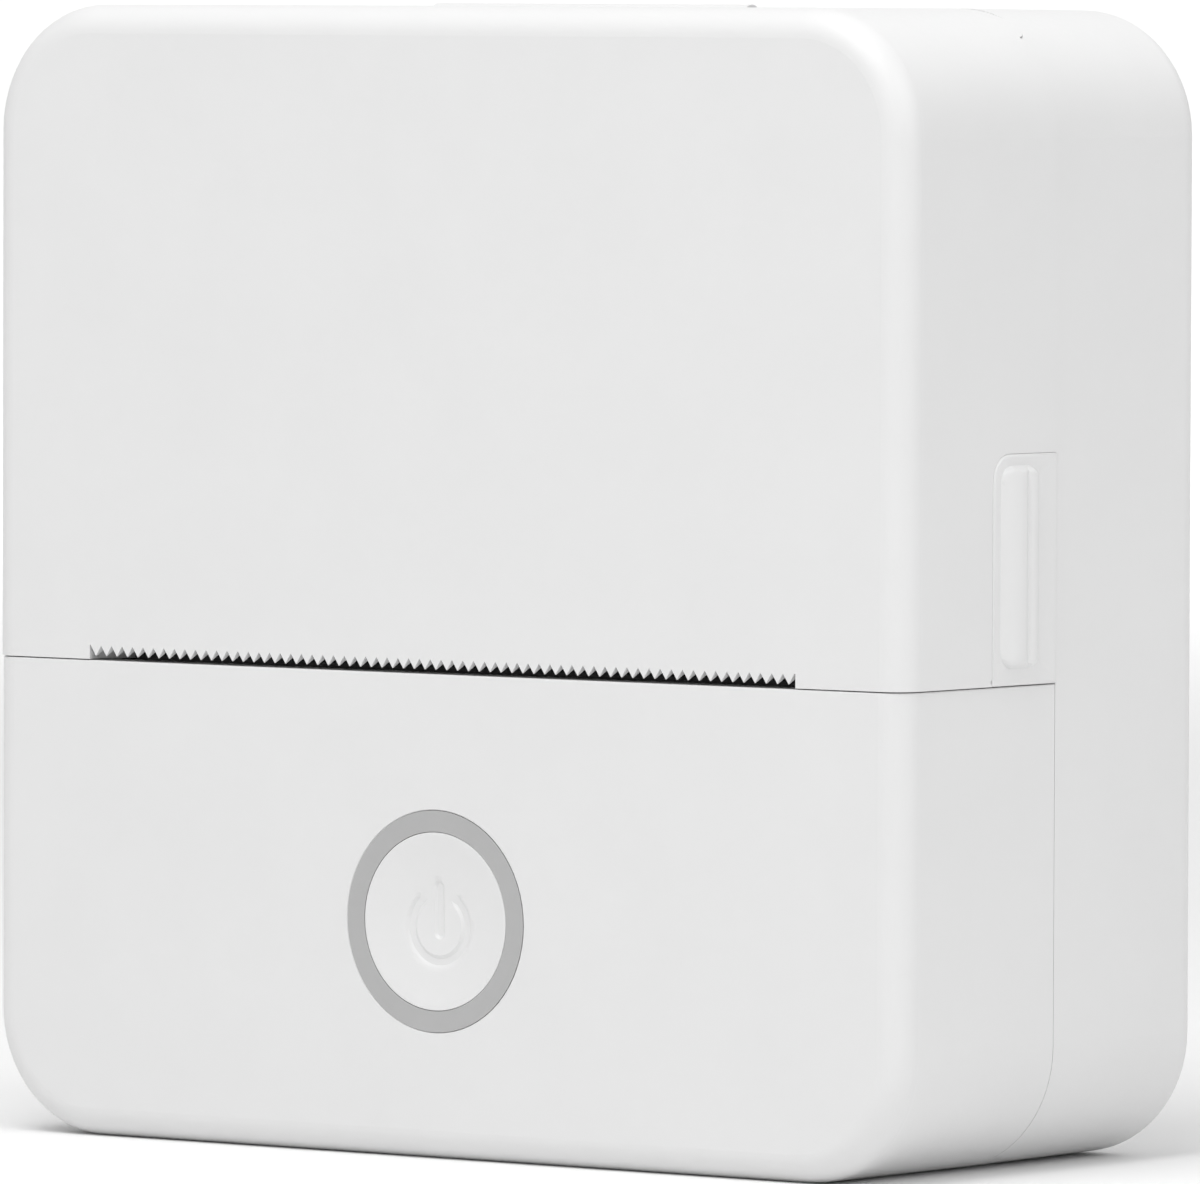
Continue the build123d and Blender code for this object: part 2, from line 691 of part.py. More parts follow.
# Gear train on the left plate. All gears are in mesh at rest.
idler_stud_end = gear_near - gear_width - 0.35
reduction_stud_end = wheel_near - wheel_width - 0.6
with BuildPart() as gear_studs:
    for centre, end in ((idler_centre, idler_stud_end), (reduction_centre, reduction_stud_end)):
        with BuildSketch(Plane.YZ.offset(-plate_inner)):
            with Locations(centre):
                Circle(stud_radius)
        extrude(amount=end + plate_inner)
        with BuildSketch(Plane.YZ.offset(end)):
            with Locations(centre):
                Circle(stud_radius + 0.6)
        extrude(amount=0.3)
gear_studs.part.label = "gear_studs"
export_step(gear_studs.part, "parts/gear_studs.step")

with BuildPart() as idler_gear:
    with BuildSketch(Plane.YZ.offset(gear_near)):
        toothed(idler_centre, idler_teeth, idler_phase)
        with Locations(idler_centre):
            Circle(stud_radius + running_gap, mode=Mode.SUBTRACT)
    extrude(amount=-gear_width)
idler_gear.part.label = "idler_gear"
export_step(idler_gear.part, "parts/idler_gear.step")

with BuildPart() as reduction_gear:
    with BuildSketch(Plane.YZ.offset(gear_near)):
        toothed(reduction_centre, small_teeth, small_phase)
    extrude(amount=wheel_near - gear_near)
    with BuildSketch(Plane.YZ.offset(wheel_near)):
        toothed(reduction_centre, wheel_teeth, wheel_phase)
    extrude(amount=-wheel_width)
    with BuildSketch(Plane.YZ.offset(gear_near)):
        with Locations(reduction_centre):
            Circle(stud_radius + running_gap)
    extrude(amount=wheel_near - wheel_width - gear_near, mode=Mode.SUBTRACT)
reduction_gear.part.label = "reduction_gear"
export_step(reduction_gear.part, "parts/reduction_gear.step")

pinion_near = wheel_near + 0.2
with BuildPart() as motor_pinion:
    with BuildSketch(Plane.YZ.offset(pinion_near)):
        toothed(motor_centre, pinion_teeth, pinion_phase)
        with Locations(motor_centre):
            Circle(motor_shaft_radius, mode=Mode.SUBTRACT)
    extrude(amount=-(wheel_width + 0.4))
motor_pinion.part.label = "motor_pinion"
export_step(motor_pinion.part, "parts/motor_pinion.step")

motor_face = -plate_inner
motor_bore_end = motor_face + 3.5
with BuildPart() as motor_shaft:
    with BuildSketch(Plane.YZ.offset(motor_bore_end - 0.3)):
        with Locations(motor_centre):
            Circle(motor_shaft_radius)
    extrude(amount=-(motor_bore_end - 0.3 + 38.5))
motor_shaft.part.label = "motor_shaft"
export_step(motor_shaft.part, "parts/motor_shaft.step")

# Stepper motor: can, face plate with two ears, locating boss and terminal block.
with BuildPart() as motor_body:
    with BuildSketch(Plane.YZ.offset(motor_face)):
        with Locations(motor_centre):
            Circle(motor_radius)
        with Locations(*motor_ears):
            Circle(1.7)
        with Locations(motor_centre):
            Rectangle(17.8, 3.4, rotation=45)
        with Locations(*motor_ears):
            Circle(0.8, mode=Mode.SUBTRACT)
    extrude(amount=0.8)
    with BuildSketch(Plane.YZ.offset(motor_face)):
        with Locations(motor_centre):
            Circle(motor_radius)
    extrude(amount=motor_length)
    chamfer(motor_body.faces().sort_by(Axis.X)[-1].edges(), length=0.5)
    with BuildSketch(Plane.YZ.offset(motor_face)):
        with Locations(motor_centre):
            Circle(3.0)
    extrude(amount=-1.2)
    with BuildSketch(Plane.YZ.offset(motor_face - 1.2)):
        with Locations(motor_centre):
            Circle(motor_shaft_radius + running_gap)
    extrude(amount=motor_bore_end - motor_face + 1.2, mode=Mode.SUBTRACT)
    with BuildSketch(Plane.XY.offset(motor_z - motor_radius - 1.2)):
        with Locations((motor_face + 7.0, motor_y)):
            Rectangle(5.0, 7.0)
    extrude(amount=2.4)
motor_body.part.label = "motor_body"
export_step(motor_body.part, "parts/motor_body.step")

# Print head: a heat sink that tilts on two pins, with the ceramic and its driver bonded on top.
with BuildPart() as heat_sink:
    with BuildSketch(Plane.XY.offset(sink_bottom)):
        with Locations((0, -8.7)):
            Rectangle(61.6, 11.4)
    extrude(amount=sink_thick)
    for side in (-1, 1):
        with BuildSketch(Plane.YZ.offset(30.8 if side > 0 else -32.4)):
            with Locations((pivot_y, pivot_z)):
                Circle(pivot_radius)
        extrude(amount=1.6)
        with BuildSketch(Plane.YZ.offset(29.8 if side > 0 else -30.8)):
            Polygon((-12.5, sink_bottom), (-11.5, 31.6), (-5.0, 31.6), (-3.4, sink_bottom))
        extrude(amount=1.0)
    with BuildSketch(Plane.XY.offset(sink_bottom)):
        with Locations(*head_spring_points):
            Circle(1.3)
    extrude(amount=-0.6)
heat_sink.part.label = "heat_sink"
export_step(heat_sink.part, "parts/heat_sink.step")

with BuildPart() as head_ceramic:
    with BuildSketch(Plane.XY.offset(sink_top)):
        with Locations((0, -11.3)):
            Rectangle(53.0, 5.4)
    extrude(amount=ceramic_thick)
    chamfer(head_ceramic.faces().sort_by(Axis.Z)[-1].edges().sort_by(Axis.Y)[0], length=0.3)
head_ceramic.part.label = "head_ceramic"
export_step(head_ceramic.part, "parts/head_ceramic.step")

with BuildPart() as head_driver:
    with BuildSketch(Plane.YZ.offset(-24.0)):
        Polygon((-8.4, sink_top), (-8.0, sink_top + 0.9), (-5.8, sink_top + 0.9), (-5.0, sink_top))
    extrude(amount=48.0)
head_driver.part.label = "head_driver"
export_step(head_driver.part, "parts/head_driver.step")

# Head springs: two coils between the frame's floor and the heat sink, each round a peg at both ends.
with BuildPart() as head_springs:
    for x, y in head_spring_points:
        for section in coil_sections(Plane((x, y, floor_top)), 1.75, sink_bottom - floor_top, 4):
            with BuildSketch(section):
                RegularPolygon(spring_wire, 6)
        loft(ruled=True)
head_springs.part.label = "head_springs"
export_step(head_springs.part, "parts/head_springs.step")

# Platen: a rubber sleeve on a steel shaft, with its gear at the left end.
shaft_left = gear_near - gear_width - 0.2
with BuildPart() as platen_shaft:
    with BuildSketch(Plane.YZ.offset(shaft_left)):
        with Locations(platen_centre):
            Circle(platen_core_radius)
    extrude(amount=33.2 - shaft_left)
platen_shaft.part.label = "platen_shaft"
export_step(platen_shaft.part, "parts/platen_shaft.step")

with BuildPart() as platen_rubber:
    with BuildSketch(Plane.YZ.offset(-platen_half)):
        with Locations(platen_centre):
            Circle(platen_radius)
            Circle(platen_core_radius, mode=Mode.SUBTRACT)
    extrude(amount=2 * platen_half)
platen_rubber.part.label = "platen_rubber"
export_step(platen_rubber.part, "parts/platen_rubber.step")

with BuildPart() as platen_gear:
    with BuildSketch(Plane.YZ.offset(gear_near)):
        toothed(platen_centre, platen_teeth, platen_phase)
        with Locations(platen_centre):
            Circle(platen_core_radius, mode=Mode.SUBTRACT)
    extrude(amount=-gear_width)
platen_gear.part.label = "platen_gear"
export_step(platen_gear.part, "parts/platen_gear.step")

with BuildPart() as platen_bushes:
    for start in (-bush_outer, bush_inner):
        with BuildSketch(Plane.YZ.offset(start)):
            with Locations(platen_centre):
                Circle(bush_radius)
                Circle(platen_core_radius + running_gap, mode=Mode.SUBTRACT)
        extrude(amount=bush_outer - bush_inner)
platen_bushes.part.label = "platen_bushes"
export_step(platen_bushes.part, "parts/platen_bushes.step")

# Platen carrier: a beam inside the cover with two end brackets and fins that arch over the roller.
beam_bottom = 43.6
bracket_inner = bush_inner
bracket_outer = 30.9
with BuildPart() as platen_carrier:
    with BuildSketch(Plane.YZ.offset(-bracket_outer)):
        with Locations((-12.1, beam_bottom + 0.8)):
            Rectangle(7.0, 1.6)
    extrude(amount=2 * bracket_outer)
    for start in (-bracket_outer, bracket_inner):
        with BuildSketch(Plane.YZ.offset(start)):
            with Locations(platen_centre):
                Circle(3.5)
            with Locations((platen_y - 0.1, (platen_z + beam_bottom) / 2 + 0.4)):
                Rectangle(7.0, beam_bottom - platen_z + 0.8)
            with Locations(platen_centre):
                Circle(bush_radius, mode=Mode.SUBTRACT)
        extrude(amount=bracket_outer - bracket_inner)
    for fin in range(-2, 3):
        with BuildSketch(Plane.YZ.offset(fin * 11.0 - 0.4)):
            with Locations((-12.1, beam_bottom - 1.0)):
                Rectangle(7.0, 2.2)
            with Locations(platen_centre):
                Circle(platen_radius + 0.5, mode=Mode.SUBTRACT)
        extrude(amount=0.8)
    with BuildSketch(Plane.XZ.offset(-inner_front - 1.3)):
        for x, z in carrier_points:
            with Locations((x, z - 0.2)):
                RectangleRounded(5.6, 4.4, 0.8)
            with Locations((x, z - 1.6)):
                Rectangle(5.6, 1.6)
        with Locations(*carrier_points):
            Circle(0.85, mode=Mode.SUBTRACT)
    extrude(amount=-1.2)
platen_carrier.part.label = "platen_carrier"
export_step(platen_carrier.part, "parts/platen_carrier.step")

# Hinge pin through the lugs and the knuckle.
with BuildPart() as hinge_pin:
    with BuildSketch(Plane.YZ.offset(-lug_outer)):
        with Locations((0, hinge_height)):
            Circle(pin_radius)
    extrude(amount=2 * lug_outer)
hinge_pin.part.label = "hinge_pin"
export_step(hinge_pin.part, "parts/hinge_pin.step")

# Paper cradle: a trough round the back of the roll, with a cheek at each end.
roll_centre = (roll_y, roll_z)
cradle_outer = cradle_radius + cradle_wall


def cradle_opening():
    """The front of the cradle, left open from the top of the roll to its lower front."""
    Polygon(roll_centre, shifted(roll_centre, 40, 80), (-40, 110), (-40, 20),
            shifted(roll_centre, 40, 250), mode=Mode.SUBTRACT)


with BuildPart() as paper_cradle:
    with BuildSketch(Plane.YZ.offset(-cheek_outer)):
        with Locations(roll_centre):
            Circle(cradle_outer)
            Circle(cradle_radius, mode=Mode.SUBTRACT)
        cradle_opening()
    extrude(amount=2 * cheek_outer)
    for start in (-cheek_outer, cheek_inner):
        with BuildSketch(Plane.YZ.offset(start)):
            with Locations(roll_centre):
                Circle(cradle_outer)
            with Locations((-24.5, roll_z)):
                Rectangle(36.0, 60.0, mode=Mode.SUBTRACT)
            with Locations(roll_centre):
                Circle(4.0, mode=Mode.SUBTRACT)
        extrude(amount=cheek_outer - cheek_inner)
    # arms and bosses that take the upper case screws
    for side in (-1, 1):
        with BuildSketch(Plane.XZ.offset(-6.0)):
            with Locations((side * 32.6, cradle_screw_z)):
                Rectangle(4.0, 4.0)
            with Locations((side * cradle_screw_x, cradle_screw_z)):
                Circle(2.3)
        extrude(amount=-1.4)
        with BuildSketch(Plane.XZ.offset(-6.0)):
            with Locations((side * cradle_screw_x, cradle_screw_z)):
                Circle(2.3)
        extrude(amount=6.0 - boss_front)
        with BuildSketch(Plane.XZ.offset(-boss_front)):
            with Locations((side * cradle_screw_x, cradle_screw_z)):
                Circle(screw_radius)
        extrude(amount=8.0, mode=Mode.SUBTRACT)
paper_cradle.part.label = "paper_cradle"
export_step(paper_cradle.part, "parts/paper_cradle.step")

# Paper sensor on the front of the rear bar.
with BuildPart() as paper_sensor:
    with BuildSketch(Plane.XZ.offset(-1.5)):
        with Locations((14.0, 43.4)):
            Rectangle(4.0, 2.0)
    extrude(amount=1.6)
    chamfer(paper_sensor.faces().sort_by(Axis.Y)[0].edges(), length=0.25)
paper_sensor.part.label = "paper_sensor"
export_step(paper_sensor.part, "parts/paper_sensor.step")

# Main board, with its lower corners cut away round the case bosses.
with BuildPart() as main_board:
    with BuildSketch(Plane.XZ.offset(-board_front)):
        with Locations((0, (board_bottom + board_top) / 2)):
            RectangleRounded(2 * board_half, board_top - board_bottom, 1.0)
        with Locations((-case_screw_x, case_screw_low - 1.5), (case_screw_x, case_screw_low - 1.5)):
            RectangleRounded(5.4, 8.4, 1.0, mode=Mode.SUBTRACT)
        with Locations(*board_points):
            Circle(0.95, mode=Mode.SUBTRACT)
    extrude(amount=-board_thick)
main_board.part.label = "main_board"
export_step(main_board.part, "parts/main_board.step")

board_back = board_front + board_thick
chip_places = {"processor": (-5.0, 12.0, 7.0, 7.0, 0.9), "motor_driver": (-19.0, 18.0, 5.0, 5.0, 0.9),
               "memory": (9.0, 17.0, 6.0, 5.0, 0.9), "coil": (21.0, 9.5, 5.0, 5.0, 2.4),
               "radio": (24.0, 19.5, 10.0, 7.0, 1.6), "battery_socket": (-16.0, 6.5, 6.0, 4.0, 2.6),
               "head_socket": (0.0, 22.8, 20.0, 3.0, 1.8)}
with BuildPart() as board_chips:
    for x, z, across, high, thick in chip_places.values():
        with BuildSketch(Plane.XZ.offset(-board_back)):
            with Locations((x, z)):
                Rectangle(across, high)
        extrude(amount=-thick)
board_chips.part.label = "board_chips"
export_step(board_chips.part, "parts/board_chips.step")

with BuildPart() as status_lights:
    with BuildSketch(Plane.XZ.offset(-board_front)):
        with Locations((0, button_height)):
            with PolarLocations(7.5, 4, start_angle=45):
                Rectangle(0.9, 1.7)
    extrude(amount=0.7)
status_lights.part.label = "status_lights"
export_step(status_lights.part, "parts/status_lights.step")

# Charging port on the board's left edge, its mouth in the shell's cut-out.
port_left = -half_width + 0.3
port_middle = (board_back + 1.6, 14.0)
with BuildPart() as charging_port:
    with BuildSketch(Plane.YZ.offset(port_left)):
        with Locations(port_middle):
            SlotOverall(9.0, 3.2, rotation=90)
    extrude(amount=7.3)
    with BuildSketch(Plane.YZ.offset(port_left)):
        with Locations(port_middle):
            SlotOverall(8.4, 2.6, rotation=90)
    extrude(amount=5.6, mode=Mode.SUBTRACT)
    with BuildSketch(Plane.YZ.offset(port_left + 0.8)):
        with Locations(port_middle):
            Rectangle(0.7, 6.7)
    extrude(amount=5.0)
charging_port.part.label = "charging_port"
export_step(charging_port.part, "parts/charging_port.step")

# Flat cable from the board's socket up behind the floor to the back of the head.
with BuildPart() as head_ribbon:
    with BuildSketch(Plane.YZ.offset(-9.0)):
        with BuildLine():
            FilletPolyline((-5.1, 23.0), (-0.5, 24.6), (-0.5, 32.2), (-2.6, 34.2), radius=1.0)
        trace(line_width=0.25)
    extrude(amount=18.0)
head_ribbon.part.label = "head_ribbon"
export_step(head_ribbon.part, "parts/head_ribbon.step")

# Battery: a flat pouch cell with its folded top seal.
with BuildPart() as battery:
    with BuildSketch(Plane.XZ.offset(-9.3)):
        with Locations((9.9, 20.5)):
            RectangleRounded(45.6, 33.0, 1.5)
    extrude(amount=-6.4)
    flat_faces = battery.faces().group_by(Axis.Y)
    chamfer(flat_faces[0].edges() + flat_faces[-1].edges(), length=0.9)
    with BuildSketch(Plane.XY.offset(36.5)):
        with Locations((9.9, 12.5)):
            Rectangle(42.0, 1.2)
    extrude(amount=2.6)
battery.part.label = "battery"
export_step(battery.part, "parts/battery.step")


def screws(name, points, plane, head, length, radius, head_height):
    """A set of pan-head screws. Heads stand on the plane's normal side and the shanks run the other way."""
    with BuildPart() as screw_set:
        with BuildSketch(plane):
            with Locations(*points):
                Circle(head)
        extrude(amount=head_height)
        with BuildSketch(plane):
            with Locations(*points):
                Circle(radius)
        extrude(amount=-length)
    screw_set.part.label = name
    export_step(screw_set.part, "parts/" + name + ".step")


back_plane = Plane(origin=(0, half_depth - 1.6, 0), x_dir=(-1, 0, 0), z_dir=(0, 1, 0))
screws("case_screws", [(-x, z) for x, z in case_points], back_plane, head_radius, 8.0, screw_radius, 1.4)
frame_points = [(-frame_screw_x, frame_screw_z), (frame_screw_x, frame_screw_z)]
screws("frame_screws", frame_points, Plane.XZ.offset(-3.0), 1.6, 5.5, screw_radius, 1.0)
board_plane = Plane(origin=(0, board_back, 0), x_dir=(-1, 0, 0), z_dir=(0, 1, 0))
screws("board_screws", board_points, board_plane, 1.6, 5.0, 0.8, 0.9)
carrier_plane = Plane(origin=(0, inner_front + 2.5, 0), x_dir=(-1, 0, 0), z_dir=(0, 1, 0))
screws("carrier_screws", carrier_points, carrier_plane, 1.4, 3.0, 0.7, 0.9)
motor_plane = Plane(origin=(-plate_outer, 0, 0), x_dir=(0, -1, 0), z_dir=(-1, 0, 0))
screws("motor_screws", [(-y, z) for y, z in motor_ears], motor_plane, 1.4, 2.2, 0.8, 0.9)
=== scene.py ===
import json
from math import atan2, cos, hypot, pi, radians, sin

import bmesh
import bpy
from mathutils import Matrix, Vector
from mathutils.geometry import delaunay_2d_cdt


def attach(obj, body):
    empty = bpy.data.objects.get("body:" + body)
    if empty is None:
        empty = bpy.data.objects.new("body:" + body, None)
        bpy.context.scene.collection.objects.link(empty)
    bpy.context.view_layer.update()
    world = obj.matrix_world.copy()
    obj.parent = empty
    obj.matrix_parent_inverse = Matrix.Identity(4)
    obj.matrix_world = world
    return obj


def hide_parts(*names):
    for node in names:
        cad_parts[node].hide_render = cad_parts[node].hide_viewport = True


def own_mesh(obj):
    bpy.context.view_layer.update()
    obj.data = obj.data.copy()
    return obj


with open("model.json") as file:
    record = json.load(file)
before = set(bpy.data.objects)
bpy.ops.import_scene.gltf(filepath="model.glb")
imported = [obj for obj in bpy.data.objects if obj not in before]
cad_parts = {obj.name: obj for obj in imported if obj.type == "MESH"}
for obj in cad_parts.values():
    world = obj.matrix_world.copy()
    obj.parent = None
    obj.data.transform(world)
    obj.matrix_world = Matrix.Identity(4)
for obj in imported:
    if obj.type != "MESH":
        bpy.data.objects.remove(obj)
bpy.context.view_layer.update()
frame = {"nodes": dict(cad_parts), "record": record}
nodes = frame["nodes"]

MM = 0.001

# Materials. Sizes of grain and marks are in metres, in each piece's own coordinates.
cloud_size = 9 * MM
stain_size = 4 * MM
gloss_size = 0.5 * MM
smear_size = 0.3 * MM


def new_material(name, **sockets):
    """A material with its shader's plain numbers set. Returns it with its node tree and shader."""
    made = bpy.data.materials.new(name)
    made.use_nodes = True
    tree = made.node_tree
    shader = tree.nodes["Principled BSDF"]
    for socket, value in sockets.items():
        shader.inputs[socket.replace("_", " ")].default_value = value
    return made, tree, shader


def noise(tree, size, detail=2.0, stretch=(1, 1, 1)):
    """Smooth random values from 0 to 1 in the piece's own, stretched coordinates.

    Size is that of the spots."""
    coordinates = tree.nodes.new("ShaderNodeTexCoord")
    mapping = tree.nodes.new("ShaderNodeMapping")
    mapping.inputs["Scale"].default_value = stretch
    texture = tree.nodes.new("ShaderNodeTexNoise")
    texture.inputs["Scale"].default_value = 1 / size
    texture.inputs["Detail"].default_value = detail
    texture.inputs["Roughness"].default_value = 0.5
    tree.links.new(coordinates.outputs["Object"], mapping.inputs["Vector"])
    tree.links.new(mapping.outputs["Vector"], texture.inputs["Vector"])
    return texture.outputs["Fac"]


def span(tree, source, low, high):
    """A noise's usual values, which are 0.35 to 0.65, spread over low to high."""
    node = tree.nodes.new("ShaderNodeMapRange")
    node.inputs["From Min"].default_value = 0.35
    node.inputs["From Max"].default_value = 0.65
    node.inputs["To Min"].default_value = low
    node.inputs["To Max"].default_value = high
    tree.links.new(source, node.inputs["Value"])
    return node.outputs["Result"]


def tint(tree, shader, source, dark, light):
    """A base colour that goes from dark to light with the source."""
    mix = tree.nodes.new("ShaderNodeMix")
    mix.data_type = "RGBA"
    tree.links.new(span(tree, source, 0, 1), mix.inputs["Factor"])
    mix.inputs["A"].default_value = (*dark, 1)
    mix.inputs["B"].default_value = (*light, 1)
    tree.links.new(mix.outputs["Result"], shader.inputs["Base Color"])


def shade(colour, share):
    """The colour times share, no channel above 1."""
    return tuple(min(1.0, channel * share) for channel in colour)


def add_bumps(tree, shader, heights):
    """Bumps from (source, depth in metres) pairs, one on another."""
    normal = None
    for source, depth in heights:
        bump = tree.nodes.new("ShaderNodeBump")
        bump.inputs["Distance"].default_value = depth
        bump.inputs["Strength"].default_value = 1.0
        tree.links.new(source, bump.inputs["Height"])
        if normal is not None:
            tree.links.new(normal, bump.inputs["Normal"])
        normal = bump.outputs["Normal"]
    tree.links.new(normal, shader.inputs["Normal"])


def moulded(name, colour, spread=0.012, roughness=0.45, grain=0.14 * MM, depth=0.004 * MM,
            **sockets):
    """Moulded plastic with a fine eroded grain, a faint cloudiness and a little uneven gloss."""
    made, tree, shader = new_material(name, **sockets)
    clouds = noise(tree, cloud_size, 3.0)
    tint(tree, shader, clouds, shade(colour, 1 - spread), shade(colour, 1 + spread))
    gloss = span(tree, noise(tree, gloss_size), roughness - 0.04, roughness + 0.04)
    tree.links.new(gloss, shader.inputs["Roughness"])
    fine = noise(tree, grain, 3.0)
    coarse = noise(tree, grain * 6, 1.0)
    add_bumps(tree, shader, [(fine, depth), (coarse, depth * 0.6)])
    return made


def turned_metal(name, colour, roughness=0.3, stretch=(1, 1, 1), line=0.06 * MM,
                 depth=0.0015 * MM):
    """Metal with fine tool lines. The lines run along the axis that stretch makes small."""
    made, tree, shader = new_material(name, Metallic=1.0)
    stain = noise(tree, stain_size, 3.0)
    tint(tree, shader, stain, shade(colour, 0.88), shade(colour, 1.06))
    lines = noise(tree, line, 2.0, stretch)
    gloss = span(tree, lines, roughness - 0.07, roughness + 0.09)
    tree.links.new(gloss, shader.inputs["Roughness"])
    add_bumps(tree, shader, [(lines, depth)])
    return made


def glazed(name, colour, roughness=0.18, spread=0.03, spot=1.5 * MM, depth=0.002 * MM):
    """A smooth, glossy skin with slight waves, as on glaze, solder mask and resin."""
    made, tree, shader = new_material(name)
    spots = noise(tree, spot, 3.0)
    tint(tree, shader, spots, shade(colour, 1 - spread), shade(colour, 1 + spread))
    gloss = span(tree, noise(tree, smear_size), roughness - 0.04, roughness + 0.06)
    tree.links.new(gloss, shader.inputs["Roughness"])
    add_bumps(tree, shader, [(spots, depth)])
    return made


SHELL = (0.735, 0.735, 0.735)
materials = {
    "shell_white": moulded("shell_white", SHELL, spread=0.006, roughness=0.46, IOR=1.46),
    "button_white": moulded("button_white", SHELL, spread=0.005, roughness=0.4,
                            grain=0.1 * MM, depth=0.0025 * MM, IOR=1.46),
    "ring_grey": moulded("ring_grey", (0.42, 0.42, 0.42), spread=0.02, roughness=0.34,
                         grain=0.2 * MM, depth=0.0015 * MM, IOR=1.5),
    "inner_black": moulded("inner_black", (0.022, 0.022, 0.024), spread=0.12, roughness=0.5),
    "inner_grey": moulded("inner_grey", (0.14, 0.145, 0.155), spread=0.06, roughness=0.42),
    "gear_white": moulded("gear_white", (0.72, 0.71, 0.66), spread=0.02, roughness=0.3,
                          depth=0.002 * MM),
    "rubber": moulded("rubber", (0.02, 0.02, 0.021), spread=0.25, roughness=0.72,
                      grain=0.07 * MM, depth=0.005 * MM),
    "steel": turned_metal("steel", (0.6, 0.6, 0.61), 0.26, (0.03, 1, 1)),
    "screw_steel": turned_metal("screw_steel", (0.045, 0.045, 0.05), 0.38, line=0.1 * MM),
    "spring_steel": turned_metal("spring_steel", (0.52, 0.52, 0.54), 0.24),
    # the heat sink's near-black colour is painted shade for the dark inside of the paper slot; bare
    # aluminium is light
    "sink_aluminium": turned_metal("sink_aluminium", (0.05, 0.05, 0.054), 0.36,
                                   (0.05, 1, 1)),
    "ceramic": glazed("ceramic", (0.8, 0.77, 0.7)),
    "resin_black": glazed("resin_black", (0.012, 0.012, 0.013), 0.22, 0.1, 2.5 * MM, 0.02 * MM),
    "board_green": glazed("board_green", (0.015, 0.13, 0.06), 0.3, 0.12, 3 * MM),
    "chip_black": moulded("chip_black", (0.02, 0.02, 0.022), spread=0.1, roughness=0.55),
    "light_lens": glazed("light_lens", (0.85, 0.8, 0.42), 0.15, 0.05, 0.4 * MM),
    "cell_foil": turned_metal("cell_foil", (0.58, 0.6, 0.63), 0.34, line=0.5 * MM,
                              depth=0.01 * MM),
    "ribbon_orange": glazed("ribbon_orange", (0.5, 0.19, 0.03), 0.24, 0.08),
}
slot_of = {part["node"]: part["material_slot"] for part in frame["record"]["subparts"]}
for name, node in nodes.items():
    node.data.materials.clear()
    node.data.materials.append(materials[slot_of[name]])


# Meshes. The pieces below are measured in mm, from the part's own dimensions.
sharp_angle = radians(32)
merge_distance = 0.0001


def new_piece(name, vertices, faces, slot, body, *nodes):
    """A smooth mesh in one of the materials, which rides a body and stands for any nodes named."""
    mesh = bpy.data.meshes.new(name)
    mesh.from_pydata([Vector(v) * MM for v in vertices], [], faces)
    # the faces may be given either way round, and all are turned outwards here
    surface = bmesh.new()
    surface.from_mesh(mesh)
    bmesh.ops.recalc_face_normals(surface, faces=surface.faces)
    surface.to_mesh(mesh)
    surface.free()
    mesh.polygons.foreach_set("use_smooth", [True] * len(faces))
    mesh.set_sharp_from_angle(angle=sharp_angle)
    mesh.materials.append(materials[slot])
    piece = bpy.data.objects.new(name, mesh)
    bpy.context.scene.collection.objects.link(piece)
    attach(piece, body)
    if nodes:
        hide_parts(*nodes)
    return piece


def polar_point(radius, turns):
    """A point on a circle, a number of turns from the first axis."""
    return radius * cos(2 * pi * turns), radius * sin(2 * pi * turns)


def triangulate(loops, loose=()):
    """Triangles inside the first loop, with edges along every loop and corners at the loose points.

    Returns the flat points, for each of them the numbers of the given points it stands for, the
    faces, and the numbers of the first loop's points."""
    given = []
    edges = []
    for loop in loops:
        first = len(given)
        given += loop
        edges += [(first + i, first + (i + 1) % len(loop)) for i in range(len(loop))]
    given += loose
    inside_only = 1
    flat = [Vector(point) for point in given]
    result = delaunay_2d_cdt(flat, edges, [], inside_only, merge_distance)
    points, triangles, origins = result[0], result[2], result[3]
    number_of = {source: index for index, sources in enumerate(origins) for source in sources}
    rim = [number_of[i] for i in range(len(loops[0]))]
    return points, origins, [tuple(face) for face in triangles], rim


def add_ring(vertices, faces, previous, points):
    """A closed ring of new vertices, joined to the previous ring. Returns its vertex numbers."""
    current = list(range(len(vertices), len(vertices) + len(points)))
    vertices += points
    for i, here in enumerate(current):
        j = (i + 1) % len(current)
        faces.append((previous[i], here, current[j], previous[j]))
    return current


def rounded_rim(radius, step):
    """The (drop, outwards) places round a quarter circle, after its start. Step is in degrees."""
    return [(radius * (1 - cos(radians(a))), radius * sin(radians(a)))
            for a in range(step, 91, step)]


# Power button: its face dished, its rim rounded, and a power sign sunk into it.
cap_radius = 6.43
cap_middle = 17.2
cap_front = -18.5
cap_rim = 0.05
cap_segments = 160
dish_radius = cap_radius - cap_rim
dish_depth = 0.55
dish_rings = 17
dish_spacing = 0.36
# the cap's side, flange and hollow back with its stem, as (Y, radius)
cap_back = [(-15.4, cap_radius), (-15.4, 6.82), (-15.32, 6.9), (-14.6, 6.9), (-14.6, 5.3),
            (-14.7, 5.2), (-16.6, 5.2), (-16.8, 5.0), (-16.8, 1.8), (-16.6, 1.6), (-12.25, 1.6),
            (-12.1, 1.45)]
# the sign's lines: half their width at half depth, the width of their walls, and their depth
sign_half_line = 0.36
sign_wall = 0.24
sign_depth = 0.16
sign_outer = sign_half_line + sign_wall / 2
sign_inner = sign_half_line - sign_wall / 2
sign_core = 0.12
sign_clearance = 0.06
# the sign's open circle and its bar, from the cap's middle
sign_middle = -0.45
sign_radius = 2.5
sign_gap = radians(42)
sign_bar_low = -0.85
sign_bar_high = 2.5
bar_steps = 40


def arc_points(centre, radius, start, end, spacing=0.09):
    """Points of an arc in the cap's plane. Angles are measured from straight up, clockwise."""
    count = max(3, int(abs(end - start) * radius / spacing))
    for step in range(count + 1):
        angle = start + (end - start) * step / count
        yield centre[0] + radius * sin(angle), centre[1] + radius * cos(angle)


